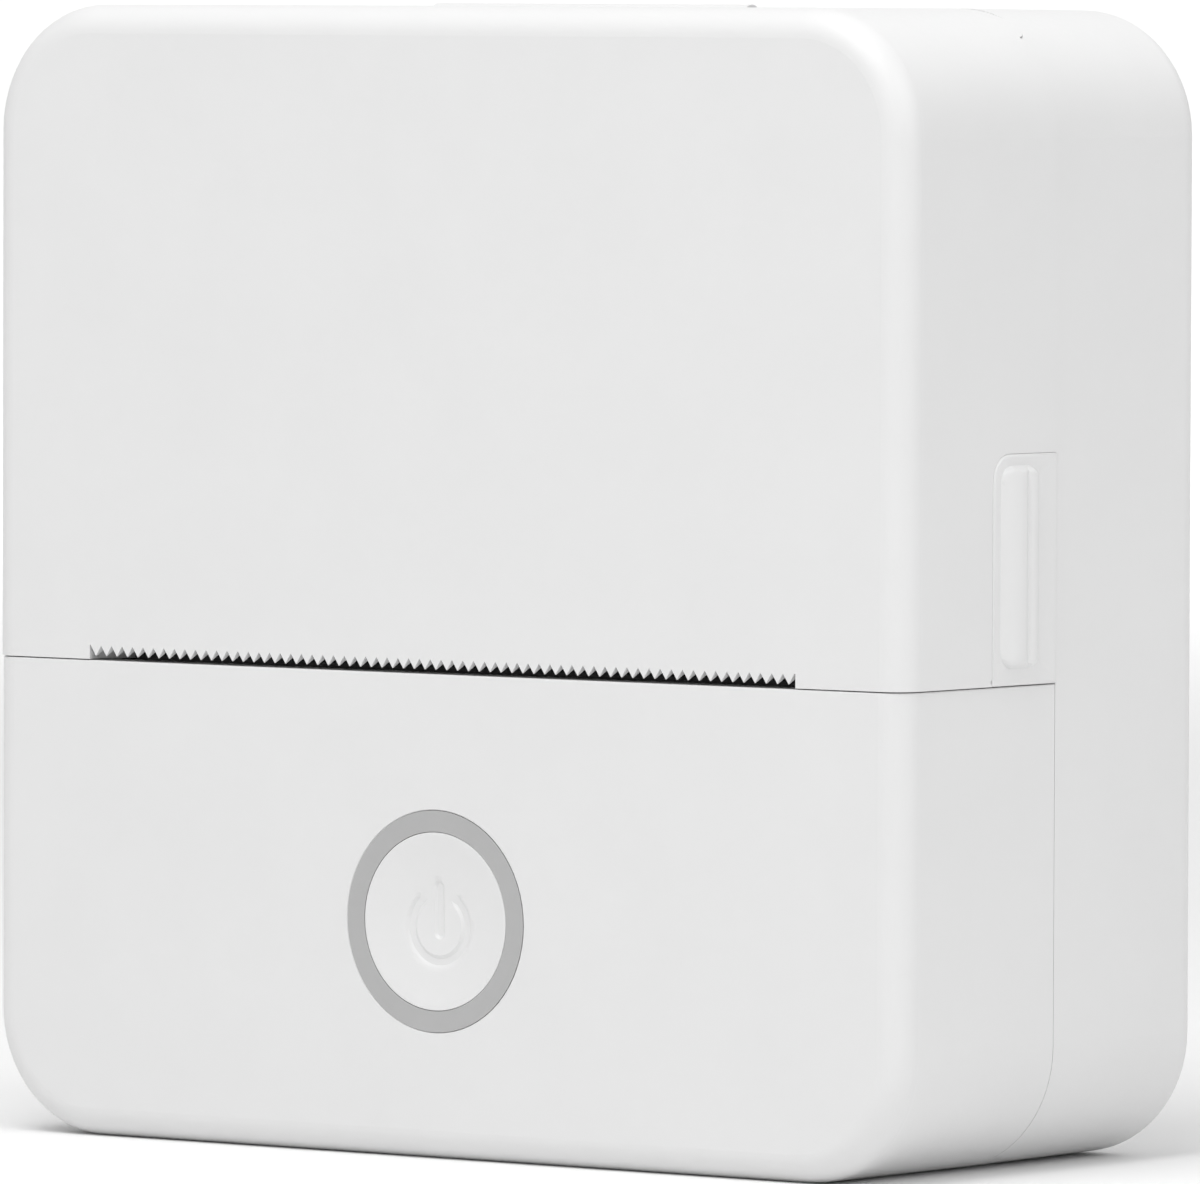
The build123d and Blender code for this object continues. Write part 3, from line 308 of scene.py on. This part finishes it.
def bar_loop(half):
    """The outline of the sign's upright bar, half wide from its middle line."""
    rise = sign_bar_high - sign_bar_low
    points = list(arc_points((0, sign_bar_high), half, -pi / 2, pi / 2))
    points += [(half, sign_bar_high - rise * i / bar_steps) for i in range(1, bar_steps)]
    points += list(arc_points((0, sign_bar_low), half, pi / 2, 3 * pi / 2))
    points += [(-half, sign_bar_low + rise * i / bar_steps) for i in range(1, bar_steps)]
    return points


def arc_loop(half):
    """The outline of the sign's open circle, half wide from its middle line."""
    middle = (0, sign_middle)
    aside = sign_radius * sin(sign_gap)
    end_height = sign_middle + sign_radius * cos(sign_gap)
    points = list(arc_points(middle, sign_radius + half, sign_gap, 2 * pi - sign_gap))
    points += list(arc_points((-aside, end_height), half, -sign_gap, -sign_gap - pi))[1:-1]
    points += list(arc_points(middle, sign_radius - half, 2 * pi - sign_gap, sign_gap))
    points += list(arc_points((aside, end_height), half, sign_gap + pi, sign_gap))[1:-1]
    return points


def sign_distance(x, z):
    """Distance from the middle of the sign's lines."""
    to_bar = hypot(x, z - min(max(z, sign_bar_low), sign_bar_high))
    if abs(atan2(x, z - sign_middle)) >= sign_gap:
        to_arc = abs(hypot(x, z - sign_middle) - sign_radius)
    else:
        end = (sign_radius * sin(sign_gap), sign_middle + sign_radius * cos(sign_gap))
        to_arc = hypot(abs(x) - end[0], z - end[1])
    return min(to_bar, to_arc)


def cap_ring(radius):
    """Points round the cap's middle, from straight up and clockwise."""
    turns = [2 * pi * i / cap_segments for i in range(cap_segments)]
    return [(radius * sin(turn), radius * cos(turn)) for turn in turns]


def build_power_button():
    loops = [cap_ring(dish_radius)]
    for half in (sign_outer, sign_inner, sign_core):
        loops += [bar_loop(half), arc_loop(half)]
    loose = []
    for ring in range(1, dish_rings):
        radius = dish_radius * ring / dish_rings
        loose += [point for point in arc_points((0, 0), radius, 0, 2 * pi, dish_spacing)
                  if sign_distance(*point) > sign_outer + sign_clearance]
    points, _, faces, rim = triangulate(loops, loose)
    vertices = []
    for x, z in points:
        depth = dish_depth * (1 - (hypot(x, z) / dish_radius) ** 2)
        inside = (sign_outer - sign_distance(x, z)) / sign_wall
        depth += sign_depth * min(1.0, max(0.0, inside))
        vertices.append((x, cap_front + depth, cap_middle + z))
    profile = [(cap_front + drop, dish_radius + out) for drop, out in rounded_rim(cap_rim, 15)]
    for y, radius in profile + cap_back:
        ring = [(x, y, cap_middle + z) for x, z in cap_ring(radius)]
        rim = add_ring(vertices, faces, rim, ring)
    end = len(vertices)
    vertices.append((0, cap_back[-1][0], cap_middle))
    for i in range(cap_segments):
        faces.append((rim[i], end, rim[(i + 1) % cap_segments]))
    new_piece("button_cap", vertices, faces, "button_white", "power_button", "power_button")


build_power_button()


def offset_loop(loop, inwards):
    """A counter-clockwise loop, with each side moved inwards by the same distance."""
    moved = []
    for index, point in enumerate(loop):
        here = Vector(point)
        before = (here - Vector(loop[index - 1])).normalized()
        after = (Vector(loop[(index + 1) % len(loop)]) - here).normalized()
        first, second = Vector((-before.y, before.x)), Vector((-after.y, after.x))
        moved.append(tuple(here + (first + second) * inwards / (1 + first.dot(second))))
    return moved


def add_prism(vertices, faces, loop, low, high, stand, bevel):
    """A prism on the loop from low to high with chamfered ends.

    Stand gives each place from a point of the loop and the way along the prism."""
    drawn_in = offset_loop(loop, bevel)
    first = len(vertices)
    vertices += [stand(point, low) for point in drawn_in]
    bottom = list(range(first, len(vertices)))
    rim = add_ring(vertices, faces, bottom, [stand(point, low + bevel) for point in loop])
    rim = add_ring(vertices, faces, rim, [stand(point, high - bevel) for point in loop])
    rim = add_ring(vertices, faces, rim, [stand(point, high) for point in drawn_in])
    faces.append(tuple(reversed(bottom)))
    faces.append(tuple(rim))


def along_x(point, along):
    """The place of a (Y, Z) point, that far along X."""
    return (along, *point)


def along_z(point, along):
    """The place of an (X, Y) point, that far along Z."""
    return (*point, along)


# Latch: a panel with a soft double pad outside, and flanges, a stem and a hook arm inside.
# The panel, in Y for front and back, Z for bottom and top, and X for its face and inner side.
panel_front = -7.87
panel_back = -0.12
panel_bottom = 35.08
panel_top = 51.52
panel_face = 41.75
panel_inner = 39.3
panel_corner = 2.0
panel_edge = 0.22
panel_land = 0.12
panel_chamfer = 0.1
corner_steps = 12
# the pad's middle and half sizes in (Y, Z), its outline's corners and its rounded ends
pad_middle = (-4.83, 43.5)
pad_half = (2.23, 7.2)
pad_corner = 1.2
pad_end = 1.2
pad_insets = (0.03, 0.08, 0.16, 0.27)
pad_grid_inset = 0.33
pad_grid = (36, 96)
# the pad's two ribs, as (crest in Y, radius, height over the panel)
bulge = (-5.15, 2.8, 0.75)
ridge = (-3.65, 1.1, 0.62)
# the bulge's radius behind its crest, the blend of the ribs, and the ends' rise over the bulge
bulge_back = 1.05
pad_soft = 0.22
pad_spare = 0.2
# behind the panel: flanges as (middle Y, middle Z, half Y, half Z), stem and hook
flange_inner = panel_inner - 1.0
flange_outer = panel_inner + 0.05
flange_bevel = 0.04
flanges = ((-3.9, 35.0, 2.7, 1.2), (-2.65, 43.8, 4.25, 6.2))
stem_middle = (-3.9, 44.0)
stem_radius = 1.5
stem_segments = 32
stem_inner = 34.0
stem_outer = flange_inner + 0.2
stem_bevel = 0.15
hook_loop = [(flange_inner + 0.1, -6.6), (flange_inner + 0.1, -5.2), (36.9, -5.2), (36.9, -11.2),
             (37.6, -11.2), (38.3, -10.4), (38.3, -9.85), (37.6, -9.85), (37.6, -6.6)]
hook_low = 37.8
hook_high = 40.6
hook_bevel = 0.12


def soft_max(first, second):
    """The larger of two heights, blended where they are close."""
    share = min(1.0, max(0.0, 0.5 + 0.5 * (first - second) / pad_soft))
    return second + (first - second) * share + pad_soft * share * (1 - share)


def rib_height(y, middle, radius, proud):
    """The height over the panel of a rib with a round back."""
    return proud - radius + max(0, radius ** 2 - (y - middle) ** 2) ** 0.5


def pad_inset(y, z):
    """How far a point lies inside the pad's rounded outline."""
    aside = abs(y - pad_middle[0]) - pad_half[0] + pad_corner
    along = abs(z - pad_middle[1]) - pad_half[1] + pad_corner
    return pad_corner - hypot(max(aside, 0), max(along, 0)) - min(max(aside, along), 0)


def pad_height(y, z):
    """The pad's height over the panel: two rounded ribs with rounded ends.

    The bulge drops sooner behind its crest than in front of it."""
    crest, radius, proud = bulge
    if y > crest:
        radius = bulge_back
    ribs = soft_max(rib_height(y, crest, radius, proud), rib_height(y, *ridge))
    inset = min(pad_end, max(0, pad_inset(y, z)))
    ends = proud + pad_spare - pad_end + (pad_end ** 2 - (pad_end - inset) ** 2) ** 0.5
    return max(0.0, -soft_max(-ribs, -ends))


def panel_loop(inset):
    """The panel's outline in (Y, Z), counter-clockwise, with its upper front corner rounded."""
    loop = [(panel_front + inset, panel_bottom + inset), (panel_back - inset, panel_bottom + inset),
            (panel_back - inset, panel_top - inset)]
    middle = (panel_front + panel_corner, panel_top - panel_corner)
    for step in range(corner_steps + 1):
        y, z = polar_point(panel_corner - inset, 0.25 + 0.25 * step / corner_steps)
        loop.append((middle[0] + y, middle[1] + z))
    return loop


def pad_loop(inset):
    """The pad's outline drawn in by inset."""
    loop = []
    steps = 10
    for quarter, (side, end) in enumerate(((1, 1), (-1, 1), (-1, -1), (1, -1))):
        middle = (pad_middle[0] + side * (pad_half[0] - pad_corner),
                  pad_middle[1] + end * (pad_half[1] - pad_corner))
        for step in range(steps + 1):
            y, z = polar_point(pad_corner - inset, (quarter + step / steps) / 4)
            loop.append((middle[0] + y, middle[1] + z))
    return loop


def pad_grid_points():
    """Points over the pad, closer together towards its ends."""
    columns, rows = pad_grid
    for column in range(columns + 1):
        for row in range(rows + 1):
            y = pad_middle[0] + pad_half[0] * (2 * column / columns - 1)
            z = pad_middle[1] + pad_half[1] * sin(pi / 2 * (2 * row / rows - 1))
            if pad_inset(y, z) > pad_grid_inset:
                yield y, z


def build_latch():
    loops = [panel_loop(panel_edge), panel_loop(panel_edge + panel_land), pad_loop(0)]
    loose = [point for inset in pad_insets for point in pad_loop(inset)]
    loose += pad_grid_points()
    points, _, faces, rim = triangulate(loops, loose)
    vertices = [(panel_face + pad_height(*point), *point) for point in points]
    sides = [(panel_edge - out, panel_face - drop) for drop, out in rounded_rim(panel_edge, 30)]
    sides += [(0, panel_inner + panel_chamfer), (panel_chamfer, panel_inner)]
    for inset, x in sides:
        rim = add_ring(vertices, faces, rim, [(x, *point) for point in panel_loop(inset)])
    faces.append(tuple(reversed(rim)))
    for y, z, half_y, half_z in flanges:
        loop = [(y - half_y, z - half_z), (y + half_y, z - half_z), (y + half_y, z + half_z),
                (y - half_y, z + half_z)]
        add_prism(vertices, faces, loop, flange_inner, flange_outer, along_x, flange_bevel)
    stem = []
    for i in range(stem_segments):
        y, z = polar_point(stem_radius, i / stem_segments)
        stem.append((stem_middle[0] + y, stem_middle[1] + z))
    add_prism(vertices, faces, stem, stem_inner, stem_outer, along_x, stem_bevel)
    add_prism(vertices, faces, hook_loop, hook_low, hook_high, along_z, hook_bevel)
    new_piece("latch_panel", vertices, faces, "shell_white", "latch", "latch_button")


build_latch()

# Heater line: a low glazed bead along the head's ceramic, under the platen's middle.
bead_middle = (-12.0, 35.9)
bead_half = (0.35, 0.05)
bead_sunk = 0.02
bead_reach = 24.5
bead_bevel = 0.008
bead_steps = 12


def build_heater_line():
    y, z = bead_middle
    turns = [pi * i / bead_steps for i in range(bead_steps + 1)]
    loop = [(y + bead_half[0] * cos(turn), z + bead_half[1] * sin(turn)) for turn in turns]
    loop += [(y - bead_half[0], z - bead_sunk), (y + bead_half[0], z - bead_sunk)]
    vertices = []
    faces = []
    add_prism(vertices, faces, loop, -bead_reach, bead_reach, along_x, bead_bevel)
    new_piece("heater_line", vertices, faces, "resin_black", "print_head")


build_heater_line()


# Coil springs of round wire with closed, flattened end turns.
def build_coil(name, seats, axis, aside, radius, length, wire, node):
    """Coils on the seats, each a point where the coil starts, wound about axis from aside."""
    axis, aside = Vector(axis), Vector(aside)
    third = axis.cross(aside)
    turns = 4
    steps_per_turn = 40
    sides = 12
    # a quarter turn at each end lies flat
    flat_turns = 0.25
    steps = steps_per_turn * turns
    vertices = []
    faces = []
    for seat in seats:
        rim = None
        for step in range(steps + 1):
            turn = step / steps_per_turn
            lift = min(1.0, max(0.0, (turn - flat_turns) / (turns - 2 * flat_turns)))
            along = wire + (length - 2 * wire) * lift
            outwards = cos(2 * pi * turn) * aside + sin(2 * pi * turn) * third
            centre = Vector(seat) + radius * outwards + along * axis
            section = [polar_point(wire, side / sides) for side in range(sides)]
            ring = [centre + out * outwards + up * axis for out, up in section]
            if rim is None:
                rim = list(range(len(vertices), len(vertices) + sides))
                vertices += ring
                faces.append(tuple(reversed(rim)))
            else:
                rim = add_ring(vertices, faces, rim, ring)
        faces.append(tuple(rim))
    return new_piece(name, vertices, faces, "spring_steel", "chassis", node)


head_spring_wire = 0.21
head_spring_radius = 1.75
head_spring_seat = 28.5
head_spring_length = 5.0
coils = build_coil("head_coils", [(x, -11.0, head_spring_seat) for x in (-15.0, 15.0)], (0, 0, 1),
                   (1, 0, 0), head_spring_radius, head_spring_length, head_spring_wire,
                   "head_springs")
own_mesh(coils)
latch_spring_wire = 0.18
latch_spring_radius = 2.1
latch_spring_seat = 35.2
latch_spring_length = 3.1
latch_coil = build_coil("latch_coil", [(latch_spring_seat, *stem_middle)], (1, 0, 0), (0, 1, 0),
                        latch_spring_radius, latch_spring_length, latch_spring_wire,
                        "latch_spring")
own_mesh(latch_coil)

# Screws: pan heads with a cross recess, and ridged shanks.
screw_segments = 40
ridge_step = 0.2
ridge_depth = 0.1
plain_end = 0.3
tip_length = 0.25
tip_inset = 0.35
# the cross recess at its mouth and its floor, as (arm, half width) in shares of the head's radius
recess_mouth = (0.56, 0.17)
recess_floor = (0.5, 0.12)


def cross_loop(arm, half):
    """The outline of a cross. Each arm reaches arm from the middle, half to either side."""
    corner = [(arm, -half), (arm, half), (half, half)]
    points = []
    for quarter in range(4):
        turn = Matrix.Rotation(quarter * pi / 2, 2)
        points += [tuple(turn @ Vector(point)) for point in corner]
    return points


def screw_ring(radius):
    """Points round a screw's middle."""
    return [polar_point(radius, i / screw_segments) for i in range(screw_segments)]


def screw_mesh(head, head_height, shank, length):
    """Vertices and faces of a screw along Z, its head above Z = 0. Head and shank are radii."""
    rim_round = 0.22 * head_height
    dome = 0.12 * head_height
    recess = 0.55 * head_height
    face_radius = head - rim_round
    # the second ring keeps the dome round
    loops = [screw_ring(face_radius), screw_ring(face_radius * 0.8)]
    loops += [cross_loop(arm * head, half * head) for arm, half in (recess_mouth, recess_floor)]
    points, origins, faces, rim = triangulate(loops)
    sunk_from = sum(len(loop) for loop in loops[:-1])
    vertices = []
    for point, sources in zip(points, origins):
        lowered = recess if any(source >= sunk_from for source in sources) else 0
        crown = dome * (1 - (point.length / face_radius) ** 2)
        vertices.append((point.x, point.y, head_height - dome + crown - lowered))
    profile = [(face_radius + out, head_height - dome - drop)
               for drop, out in rounded_rim(rim_round, 30)]
    profile += [(head, 0.0), (shank, 0.0)]
    profile += [(shank - ridge_depth * (i % 2), -ridge_step * i)
                for i in range(1, int((length - plain_end) / ridge_step))]
    profile += [(shank - ridge_depth, -length + tip_length), (shank - tip_inset, -length)]
    for radius, z in profile:
        rim = add_ring(vertices, faces, rim, [(x, y, z) for x, y in screw_ring(radius)])
    faces.append(tuple(reversed(rim)))
    return vertices, faces


def build_screws(node, body, places, outwards, sizes):
    """The node's screws, their heads' undersides at places and their heads towards outwards."""
    vertices, faces = screw_mesh(*sizes)
    stand = Vector(outwards).to_track_quat("Z", "Y")
    all_vertices = []
    all_faces = []
    for number, place in enumerate(places):
        first = len(all_vertices)
        # each recess stands at its own angle
        spin = Matrix.Rotation(0.7 * number, 3, "Z")
        all_vertices += [Vector(place) + stand @ (spin @ Vector(v)) for v in vertices]
        all_faces += [tuple(first + index for index in face) for face in faces]
    new_piece(node + "_cross", all_vertices, all_faces, "screw_steel", body, node)


def corners_of(node, across):
    """The node's lowest and highest points in (Y, Z), moved in by across, in mm."""
    points = [nodes[node].matrix_world @ v.co / MM for v in nodes[node].data.vertices]
    return [(pick(p.y for p in points) + inwards * across,
             pick(p.z for p in points) + inwards * across)
            for pick, inwards in ((min, 1), (max, -1))]


# sizes: the head's radius and height, and the shank's radius and length
build_screws("case_screws", "chassis",
             [(-36, 16.9, 6.5), (36, 16.9, 6.5), (-33.8, 16.9, 73), (33.8, 16.9, 73)], (0, 1, 0),
             (1.8, 1.4, 0.9, 8.0))
build_screws("frame_screws", "chassis", [(x, 3.0, 46.0) for x in (-35.4, 35.4)], (0, -1, 0),
             (1.6, 1.0, 0.9, 5.5))
build_screws("board_screws", "chassis", [(x, -7.0, z) for x in (-31, 31) for z in (6.5, 23)],
             (0, 1, 0), (1.6, 0.9, 0.8, 5.0))
build_screws("carrier_screws", "cover", [(x, -14.0, 47.2) for x in (-24, 24)], (0, 1, 0),
             (1.4, 0.9, 0.7, 3.0))
build_screws("motor_screws", "chassis", [(-32.6, y, z) for y, z in corners_of("motor_screws", 1.4)],
             (-1, 0, 0), (1.4, 0.9, 0.8, 2.2))

# Camera, at the place that the photograph's outline and edges give. Its angles are in radians.
photo_width = 1200
focal_length_px = 13939.6
sensor_mm = 36.0
camera_place = Vector((616.9, -807.1, 85.1)) * MM
camera_turn = 0.65205
camera_tilt = -0.04404
camera_roll = 0.00343
level_right = Vector((cos(camera_turn), sin(camera_turn), 0))
level_ahead = Vector((-sin(camera_turn), cos(camera_turn), 0))
ahead = cos(camera_tilt) * level_ahead + sin(camera_tilt) * Vector((0, 0, 1))
level_up = level_right.cross(ahead)
right = cos(camera_roll) * level_right + sin(camera_roll) * level_up
up = -sin(camera_roll) * level_right + cos(camera_roll) * level_up
camera_data = bpy.data.cameras.new("camera")
camera_data.sensor_fit = "HORIZONTAL"
camera_data.sensor_width = sensor_mm
camera_data.lens = focal_length_px / photo_width * sensor_mm
camera_data.clip_start = 0.05
camera_data.clip_end = 50
camera = bpy.data.objects.new("camera", camera_data)
bpy.context.scene.collection.objects.link(camera)
camera_axes = Matrix((right, up, -ahead)).transposed().to_4x4()
camera.matrix_world = Matrix.Translation(camera_place) @ camera_axes
bpy.context.scene.camera = camera
bpy.context.scene.view_settings.view_transform = "Standard"

# Floor and backdrop: one pale sweep, flat under the printer and curved up behind it, in metres.
half_stage = 4.0
front_end = -2.0
bend_start = 1.6
bend_radius = 1.0
bend_steps = 24
wall_top = 3.0
profile = [(front_end, 0.0), (bend_start, 0.0)]
for step in range(1, bend_steps + 1):
    angle = pi / 2 * step / bend_steps
    profile.append((bend_start + bend_radius * sin(angle), bend_radius * (1 - cos(angle))))
profile.append((bend_start + bend_radius, wall_top))
stage_turn = Matrix.Rotation(camera_turn, 4, "Z")
vertices = [stage_turn @ Vector((side * half_stage, y, z)) for y, z in profile for side in (-1, 1)]
faces = [(2 * i, 2 * i + 1, 2 * i + 3, 2 * i + 2) for i in range(len(profile) - 1)]
stage_mesh = bpy.data.meshes.new("stage")
stage_mesh.from_pydata(vertices, [], faces)
stage_mesh.polygons.foreach_set("use_smooth", [True] * len(faces))
stage = bpy.data.objects.new("stage", stage_mesh)
bpy.context.scene.collection.objects.link(stage)
stage_material, stage_tree, stage_shader = new_material("stage_paint", Roughness=0.85)
tint(stage_tree, stage_shader, noise(stage_tree, 0.3), (0.86, 0.86, 0.86), (0.88, 0.88, 0.88))
stage_mesh.materials.append(stage_material)

# Studio light: soft panels above, in front, beside and behind, and an even pale surround.
printer_middle = (0, 0, 0.04)


def area_light(name, direction, distance, size, power, aim=printer_middle):
    """A square panel that looks at the aim from the given direction. Power is in watts."""
    data = bpy.data.lights.new(name, "AREA")
    data.shape = "SQUARE"
    data.size = size
    data.energy = power
    light = bpy.data.objects.new(name, data)
    bpy.context.scene.collection.objects.link(light)
    towards = Vector(direction).normalized()
    light.location = Vector(aim) + towards * distance
    light.rotation_mode = "QUATERNION"
    light.rotation_quaternion = towards.to_track_quat("Z", "Y")


area_light("top", (0.0, -0.35, 1.0), 0.5, 0.4, 0.6)
area_light("front", (0.1, -0.6, 1.0), 0.7, 0.5, 2.26)
area_light("side", (0.9, -0.1, 0.5), 0.8, 0.6, 1.28)
area_light("back", (0.0, 1.0, 0.9), 1.8, 1.6, 3.0)
area_light("backdrop", stage_turn @ Vector((0, -0.6, 1.0)), 0.9, 1.2, 8.0,
           stage_turn @ Vector((0, 1.8, 0.05)))
world = bpy.data.worlds.new("surround")
world.use_nodes = True
background = world.node_tree.nodes["Background"]
background.inputs["Color"].default_value = (1, 1, 1, 1)
background.inputs["Strength"].default_value = 0.56
bpy.context.scene.world = world
